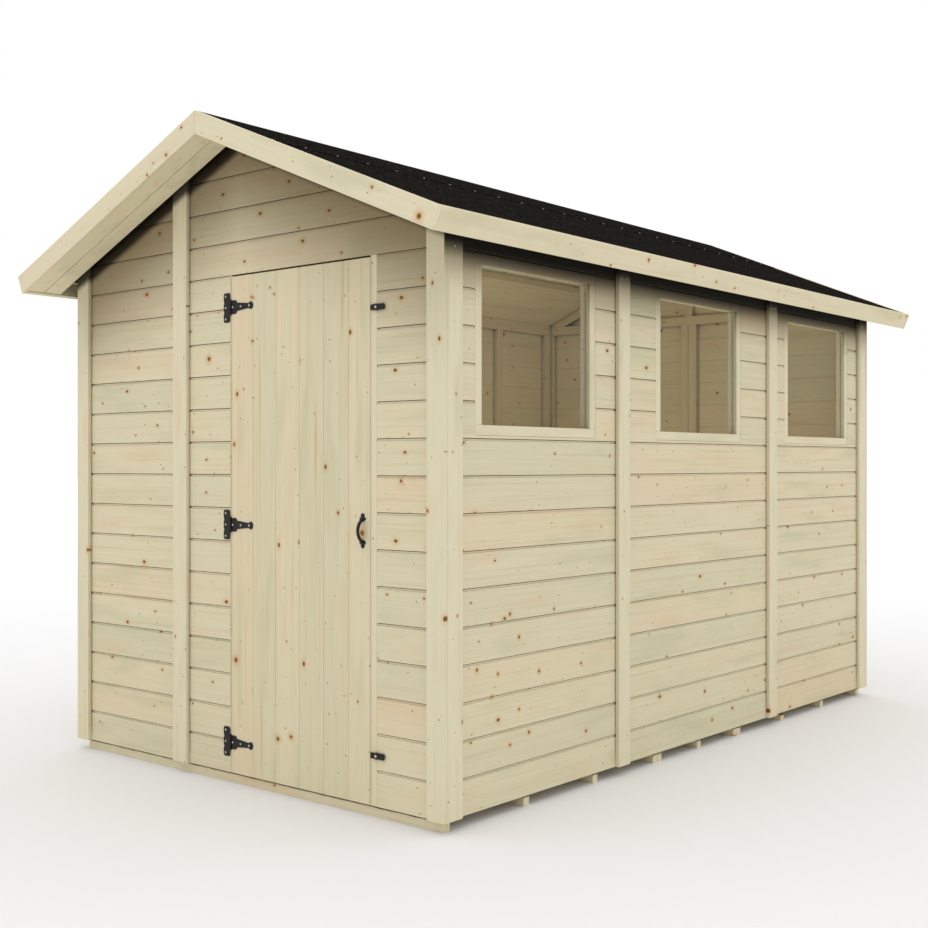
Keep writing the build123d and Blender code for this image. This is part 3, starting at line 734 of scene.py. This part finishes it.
# %% Clad the walls
def clad(name, node, out, finish=cladding_wood):
    """Replaces a wall node by its boards."""
    along = (0, 1, 0) if abs(out[0]) > 0.5 else (1, 0, 0)
    boards = []
    for blank in blanks(node):
        for board in rip(blank, (0, 0, 1), course_lines):
            course = math.floor((corner(board).z + MM - FIRST_COURSE) / COURSE)
            rebate(board, out, FIRST_COURSE + course * COURSE)
            mark_grain(board, along)
            boards.append(board)
    return assemble(name, boards, finish, "shed", "cladding", node)


for name, node in (("left_boards", "front_left_panel"), ("hinge_side_boards", "front_hinge_side"),
                   ("lock_side_boards", "front_lock_side"), ("gable_boards", "front_over_door")):
    clad("front_" + name, node, (0, -1, 0), front_wood)
for name in ("lower", "upper", "piers"):
    clad(f"right_{name}_boards", "right_wall_" + name, (1, 0, 0), side_wood)
clad("rear_boards", "rear_wall", (0, 1, 0))
clad("left_boards", "left_wall", (-1, 0, 0))

# %% [markdown]
# ## Door
# The door is six upright boards, tongued together with a small V at each joint. The first
# and last are narrower, as the door was cut to its width after the boards were joined.

# %% Door boards
DOOR_FIRST_JOINT = 70 * MM
DOOR_BOARD = 112 * MM
DOOR_JOINTS = 5
DOOR_ARRIS = 1.8 * MM
door_joints = [DOOR_FIRST_JOINT + DOOR_BOARD * number for number in range(DOOR_JOINTS)]
door_boards = rip(blanks("door_leaf")[0], (1, 0, 0), door_joints)
for board in door_boards:
    ease(board, DOOR_ARRIS)
    mark_grain(board, (0, 0, 1))
assemble("door_boards", door_boards, door_wood, "door", "cladding", "door_leaf")

# %% [markdown]
# Behind the gap on each side of the door a thin lath keeps the draught out, so the gap looks
# like a shallow groove and not like a dark slit. Each is a cube set to size, with its
# arrises taken off, that stays clear of the door as it swings.

# %% Draught laths
DOORWAY_WIDTH = 661 * MM
LATH_CLEARANCE = 1.0 * MM
LATH_SET_BACK = 1.2 * MM
LATH_ARRIS = 0.5 * MM
leaf_low, leaf_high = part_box("door_leaf")
doorway_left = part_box("front_hinge_side")[1].x
doorway_right = doorway_left + DOORWAY_WIDTH
left_gap = (doorway_left, leaf_low.x - LATH_CLEARANCE)
right_gap = (leaf_high.x + LATH_CLEARANCE, doorway_right)
laths = []
depth = leaf_high.y - leaf_low.y - LATH_SET_BACK
for start, end in (left_gap, right_gap):
    place = ((start + end) / 2, leaf_high.y - depth / 2, (leaf_low.z + DOORWAY_HEAD) / 2)
    size = (end - start, depth, DOORWAY_HEAD - leaf_low.z)
    bpy.ops.object.select_all(action="DESELECT")
    bpy.ops.mesh.primitive_cube_add(size=1, location=place, scale=size)
    lath = bpy.context.object
    bpy.ops.object.transform_apply(location=True, rotation=True, scale=True)
    ease(lath, LATH_ARRIS)
    mark_grain(lath, (0, 0, 1))
    laths.append(lath)
assemble("draught_laths", laths, door_wood, "shed", "trim")


# %% [markdown]
# ## Strips, frames and battens
# The other timbers keep the CAD's outline. Their arrises are eased and each gets its own
# grain, along its longest edge. Planed strips are eased a little more than sawn battens.

# %% Plain timbers
STRIP_ARRIS = 1.5 * MM
SAWN_ARRIS = 1.0 * MM


def plain_timbers(node, finish, body, slot, arris):
    """Replaces a node by the same timbers with eased edges."""
    pieces = blanks(node)
    for piece in pieces:
        ease(piece, arris)
        mark_grain(piece)
    return assemble(node + "_timber", pieces, finish, body, slot, node)


for node in ("front_strips", "rear_strips", "left_strips", "right_strips", "barge_boards_left",
             "barge_boards_right", "fascia_left", "fascia_right"):
    plain_timbers(node, trim_wood, "shed", "trim", STRIP_ARRIS)
for node in ("window_sills", "window_heads", "window_jambs"):
    plain_timbers(node, window_wood, "shed", "trim", STRIP_ARRIS)
plain_timbers("floor_bearers", bearer_wood, "shed", "framing", SAWN_ARRIS)
for node in ("front_studs", "rear_studs", "left_studs", "right_studs", "wall_plates",
             "middle_rails", "gable_rafters", "roof_purlins", "door_frame"):
    plain_timbers(node, framing_wood, "shed", "framing", SAWN_ARRIS)
for node in ("door_ledges", "door_braces"):
    plain_timbers(node, framing_wood, "door", "framing", SAWN_ARRIS)


# %% [markdown]
# ## Boards of the floor, the roof and the soffits
# These are slabs in the CAD. They are ripped into boards in the same way: the floor and the
# roof into boards that run the length of the shed, and each soffit into two with a narrow
# gap between them.

# %% Ripped slabs
PLANK = 112 * MM
PLANK_ARRIS = 1.2 * MM
FLOOR_JOINTS = range(-9, 9)     # counted from the middle of the floor, where a plank lies
ROOF_JOINTS = range(1, 11)      # counted down from the ridge
SOFFIT_BOARD = 70 * MM
SOFFIT_GAP = 3 * MM


def planks(name, node, finish, slot, across, joints, gap=0):
    """Replaces a node of slabs by planks."""
    pieces = []
    for blank in blanks(node):
        for plank in rip(blank, across, joints, gap):
            ease(plank, PLANK_ARRIS)
            mark_grain(plank)
            pieces.append(plank)
    return assemble(name, pieces, finish, "shed", slot, node)


floor_joints = [PLANK * (number + 0.5) for number in FLOOR_JOINTS]
planks("floor_planks", "floor_panels", floor_wood, "floor", (1, 0, 0), floor_joints)
ridge = Vector((0, 0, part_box("barge_boards_right")[1].z))
for side, label in ((-1, "left"), (1, "right")):
    down_slope = Vector((side * math.cos(ROOF_PITCH), 0, -math.sin(ROOF_PITCH)))
    roof_joints = [ridge.dot(down_slope) + PLANK * number for number in ROOF_JOINTS]
    node = "roof_boards_" + label
    planks(node + "_planks", node, cladding_wood, "cladding", down_slope, roof_joints)
soffit_low, soffit_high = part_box("verge_soffits")
soffit_joints = [soffit_low.y + SOFFIT_BOARD, soffit_high.y - SOFFIT_BOARD]
planks("soffit_planks", "verge_soffits", trim_wood, "trim", (0, 1, 0), soffit_joints, SOFFIT_GAP)

# %% [markdown]
# ## Mineral felt
# The roof is bitumen felt with dark crushed slate pressed into it. It is rough and without
# any gloss, nearly black, with grains that are a little lighter and a few pale ones.

# %% Felt
GRIT = 10 * MM                  # both are drawn coarser than the real 1 mm, so that they show
SPECK = 9 * MM
FELT_RELIEF = 1.0 * MM
felt, felt_shader = new_finish("black mineral felt", Roughness=0.95, Specular_IOR_Level=0.0)
place = step(felt, "ShaderNodeTexCoord", out="Object")
grains = {"Vector": place, "Scale": 1 / GRIT, "Detail": 4.0, "Roughness": 0.8}
grit = step(felt, "ShaderNodeTexNoise", grains, out="Fac")
slate = [(0.35, "#0E0D0C"), (0.55, "#201E1B"), (0.72, "#48443E")]
dark = step(felt, "ShaderNodeValToRGB", {"Fac": grit}, stops=slate)
speck = step(felt, "ShaderNodeTexNoise", {"Vector": place, "Scale": 1 / SPECK, "Detail": 1.0}, out="Fac")
feed(felt, stain(felt, dark, "#8E8A80", speck, 0.73, 0.78, 0.8), felt_shader, "Base Color")
rough = step(felt, "ShaderNodeBump", {"Height": grit, "Strength": 0.5, "Distance": FELT_RELIEF})
feed(felt, rough, felt_shader, "Normal")
print("felt grains of", GRIT, "m")

# %% [markdown]
# ## Powder coat and zinc
# The hinges, the handle and the turn buttons are pressed steel with a black powder coat,
# which is satin and has the faint bumps of orange peel. Screws and nails are steel with a
# bright zinc plate: a metal with a soft shine, a little duller in places.

# %% Ironwork and screws
PEEL = 2.5 * MM
PEEL_RELIEF = 0.1 * MM
iron, iron_shader = new_finish("black powder-coated steel", Roughness=0.5, Specular_IOR_Level=0.3)
place = step(iron, "ShaderNodeTexCoord", out="Object")
peel = step(iron, "ShaderNodeTexNoise", {"Vector": place, "Scale": 1 / PEEL, "Detail": 2.0}, out="Fac")
black = step(iron, "ShaderNodeValToRGB", {"Fac": peel}, stops=[(0.3, "#14120F"), (0.7, "#231F1B")])
feed(iron, black, iron_shader, "Base Color")
bumps = step(iron, "ShaderNodeBump", {"Height": peel, "Strength": 0.15, "Distance": PEEL_RELIEF})
feed(iron, bumps, iron_shader, "Normal")

TARNISH = 10 / 3 * MM
zinc, zinc_shader = new_finish("bright zinc plate", Metallic=1.0, Roughness=0.3)
place = step(zinc, "ShaderNodeTexCoord", out="Object")
tarnish = step(zinc, "ShaderNodeTexNoise", {"Vector": place, "Scale": 1 / TARNISH}, out="Fac")
plate = step(zinc, "ShaderNodeValToRGB", {"Fac": tarnish}, stops=[(0.3, "#B9B7AE"), (0.7, "#DAD8D0")])
feed(zinc, plate, zinc_shader, "Base Color")
print("powder coat and zinc made")

# %% [markdown]
# ## Window sheet
# The panes are thin clear styrene. It lets most light straight through, so it is nearly
# transparent, with a faint haze and a polished gloss. Then the finishes go on the CAD
# pieces whose shape is already right.

# %% Window sheet, and the pieces that keep their shape
HAZE = 1 / 3
glass, glass_shader = new_finish("clear styrene sheet", Roughness=0.02, Alpha=0.05)
place = step(glass, "ShaderNodeTexCoord", out="Object")
haze = step(glass, "ShaderNodeTexNoise", {"Vector": place, "Scale": 1 / HAZE}, out="Fac")
clear = step(glass, "ShaderNodeValToRGB", {"Fac": haze}, stops=[(0.3, "#B5B6A6"), (0.7, "#C2C3B4")])
feed(glass, clear, glass_shader, "Base Color")

finishes = {
    felt: ("roof_felt", "felt_ridge_cap"),
    iron: ("hinge_plates", "hinge_straps", "pull_handle", "turn_button_top", "turn_button_bottom"),
    zinc: ("turn_button_screws",),
    glass: ("window_panes",),
}
for finish, names in finishes.items():
    for name in names:
        nodes[name].data.materials.clear()
        nodes[name].data.materials.append(finish)
print("finished", sum(len(names) for names in finishes.values()), "carried-over nodes")

# %% [markdown]
# ## Black felt for the shade under the overhangs
# The shade under the overhangs is quite black. It is painted shade: a strip of the same black
# felt is put under the roof boards to stand for it. Copies of the felt are lowered below the
# boards and sawn to the strips that can be seen: one along each eaves and one across each gable.

# %% Felt for the painted shade under the overhangs
SHADE_FELT_DROP = 14.5 * MM / math.cos(ROOF_PITCH)      # from the felt to just under the boards
SOFFIT_WIDTH = 140 * MM
wall_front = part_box("front_over_door")[0].y
wall_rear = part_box("rear_wall")[1].y
wall_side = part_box("right_wall_lower")[1].x
fascia_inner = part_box("fascia_right")[0].x
soffit_inner = soffit_low.y + SOFFIT_WIDTH


def painted_shade_felt(low, high):
    """The lowered felt, a sheet of painted shade, sawn to a box in plan."""
    strips = []
    for blank in blanks("roof_felt"):
        only(blank)
        bpy.ops.object.mode_set(mode="EDIT")
        bpy.ops.mesh.select_all(action="SELECT")
        bpy.ops.transform.translate(value=(0, 0, -SHADE_FELT_DROP))
        saw(blank, (*low, 0), (-1, 0, 0))
        saw(blank, (*low, 0), (0, -1, 0))
        saw(blank, (*high, 0), (1, 0, 0))
        saw(blank, (*high, 0), (0, 1, 0))
        bpy.ops.object.mode_set(mode="OBJECT")
        if blank.data.polygons:
            strips.append(blank)
        else:
            bpy.data.objects.remove(blank)
    return strips


side, outer = wall_side + MM, fascia_inner - MM
front, rear, end = wall_front - MM, wall_rear + MM, -soffit_inner - MM
strips = painted_shade_felt((side, -end), (outer, end)) + painted_shade_felt((-outer, -end), (-side, end))
strips += painted_shade_felt((-side, -end), (side, front)) + painted_shade_felt((-side, rear), (side, end))
# black felt that stands for the shade under the overhangs: painted shade
assemble("eaves_painted_shade_felt", strips, felt, "shed", "felt")

# %% [markdown]
# ## Screws and nails
# One head is modelled and copied to each place. A screw has a low domed head with a recess.
# A nail's head is smaller and nearly flat. They are a cylinder whose top face is inset and
# lifted, then inset again and pressed in.

# %% Model one head
HEAD_SIDES = 12
RIM_SHARE = 0.28                # of the radius, for the sloping rim
DOME_SHARE = 0.45               # of the height, for how far the top rises
RECESS_SHARE = 0.34             # of the radius, for the ring round the recess


def head(radius, height, recess):
    """A domed head on the ground, pointing up."""
    bpy.ops.object.select_all(action="DESELECT")
    bpy.ops.mesh.primitive_cylinder_add(
        vertices=HEAD_SIDES, radius=radius, depth=height, location=(0, 0, height / 2)
    )
    made = bpy.context.object
    bpy.ops.object.transform_apply(location=True, rotation=True, scale=True)
    bpy.ops.object.mode_set(mode="EDIT")
    bpy.ops.mesh.select_mode(type="FACE")
    bpy.ops.mesh.select_all(action="DESELECT")
    bpy.ops.object.mode_set(mode="OBJECT")
    for face in made.data.polygons:
        face.select = face.normal.z > 0.9
    bpy.ops.object.mode_set(mode="EDIT")
    bpy.ops.mesh.inset(thickness=RIM_SHARE * radius)
    bpy.ops.transform.translate(value=(0, 0, DOME_SHARE * height))
    bpy.ops.mesh.inset(thickness=RECESS_SHARE * radius)
    bpy.ops.transform.translate(value=(0, 0, -recess))
    bpy.ops.object.mode_set(mode="OBJECT")
    return made


def set_heads(name, model, spots, out, body):
    """Copies a head to each spot, facing out."""
    turn = Vector((0, 0, 1)).rotation_difference(Vector(out)).to_matrix().to_4x4()
    heads = []
    for x, y, z in spots:
        new = copy_of(model)
        new.data.transform(Matrix.Translation((x * MM, y * MM, z * MM)) @ turn)
        heads.append(new)
    return assemble(name, heads, zinc, body, "screws")


screw = head(3.6 * MM, 1.0 * MM, 1.0 * MM)
nail = head(2.6 * MM, 0.6 * MM, 0.2 * MM)
clout = head(3.4 * MM, 0.8 * MM, 0.2 * MM)

# %% [markdown]
# Each hinge has three screws down its plate, which stay on the wall, and three along its
# strap, which swing with the door. All places from here on are in millimetres.

# %% Hinge screws
HINGE_HEIGHTS = (141, 875, 1608.9)
HINGE_FACE = -1509
HINGE_AXIS = -41.5
PLATE_RUN = -26                 # from the axis to the row of screws in the plate
PLATE_RISES = (-38.5, 0, 38.5)
STRAP_RUNS = (10, 51, 94)
plate_spots = []
strap_spots = []
for hinge in HINGE_HEIGHTS:
    plate_spots += [(HINGE_AXIS + PLATE_RUN, HINGE_FACE, hinge + rise) for rise in PLATE_RISES]
    strap_spots += [(HINGE_AXIS + run, HINGE_FACE, hinge) for run in STRAP_RUNS]
set_heads("hinge_plate_screws", screw, plate_spots, (0, -1, 0), "shed")
set_heads("hinge_strap_screws", screw, strap_spots, (0, -1, 0), "door")
bpy.data.objects.remove(screw)

# %% [markdown]
# The cover strips of the window wall are nailed near their upper and lower ends. Clout nails
# hold the strip of felt over the ridge, along both of its lower edges.

# %% Nails
STRIP_FACE = 924
strip_nails = [(STRIP_FACE, y, z) for y, z in (
    (-586, 1718), (-555, 1721), (538, 1718), (565, 1720), (-1474, 1716), (1450, 1718),
    (-586, 140), (-555, 140), (538, 140), (565, 140), (-1474, 140), (1450, 140),
)]
set_heads("strip_nails", nail, strip_nails, (1, 0, 0), "shed")
bpy.data.objects.remove(nail)

CLOUT_PITCH = 140
CLOUT_END = 1680
CLOUT_RUN = 392 * MM            # from the ridge down the slope
for side, label in ((-1, "left"), (1, "right")):
    down = Vector((side * math.cos(ROOF_PITCH), 0, -math.sin(ROOF_PITCH))) * CLOUT_RUN
    spot = (ridge + down) / MM
    clouts = [(spot.x, y, spot.z) for y in range(-CLOUT_END, CLOUT_END + 1, CLOUT_PITCH)]
    out = (side * math.sin(ROOF_PITCH), 0, math.cos(ROOF_PITCH))
    set_heads("clout_nails_" + label, clout, clouts, out, "shed")
bpy.data.objects.remove(clout)
